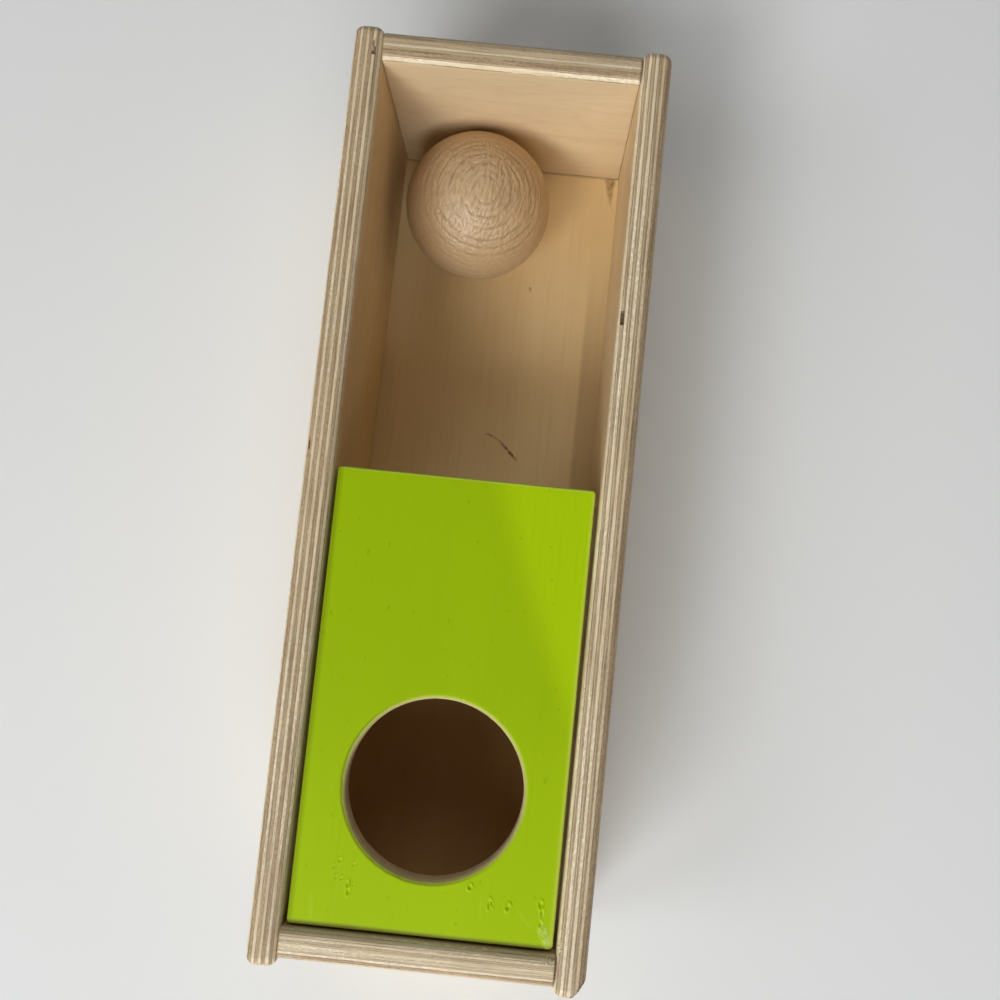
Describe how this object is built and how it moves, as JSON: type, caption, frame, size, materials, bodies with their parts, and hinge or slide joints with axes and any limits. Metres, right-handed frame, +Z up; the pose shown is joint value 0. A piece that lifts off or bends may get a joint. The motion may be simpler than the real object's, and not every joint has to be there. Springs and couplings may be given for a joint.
{
  "type": "object permanence box",
  "caption": "Open-topped plywood box with a sloping floor, a painted cover over its near half with a round ball hole, and a loose wooden ball.",
  "frame": {"origin": "centre of the box's outline at the plane that it stands on", "axes": "+X to the right and +Y towards the open far end, seen by the child at the near end with the ball hole; +Z up"},
  "size_m": [0.127, 0.366, 0.11],
  "materials": {
    "side_plywood": "clear satin lacquer over birch plywood, plies showing on the edges",
    "end_plywood": "clear satin lacquer over birch plywood",
    "floor_plywood": "clear satin lacquer over birch plywood",
    "green_paint": "satin lime green paint over wood",
    "rest_wood": "planed, unfinished",
    "dowel_beech": "unfinished beech",
    "ball_beech": "turned beech, sanded and waxed"
  },
  "bodies": {
    "box": {"left_side_board": "side_plywood", "right_side_board": "side_plywood", "far_end_board": "end_plywood", "near_end_board": "end_plywood", "ramp_floor": "floor_plywood", "cover_panel": "green_paint", "left_panel_rest": "rest_wood", "right_panel_rest": "rest_wood", "far_left_dowels": "dowel_beech", "far_right_dowels": "dowel_beech", "near_left_dowels": "dowel_beech", "near_right_dowels": "dowel_beech"},
    "ball": {"ball": "ball_beech"}
  },
  "joints": [
    {"name": "ball_roll", "type": "slide", "parent": "box", "child": "ball", "axis": [0, -0.9986, 0.052], "range_m": [0, 0.2716]}
  ]
}
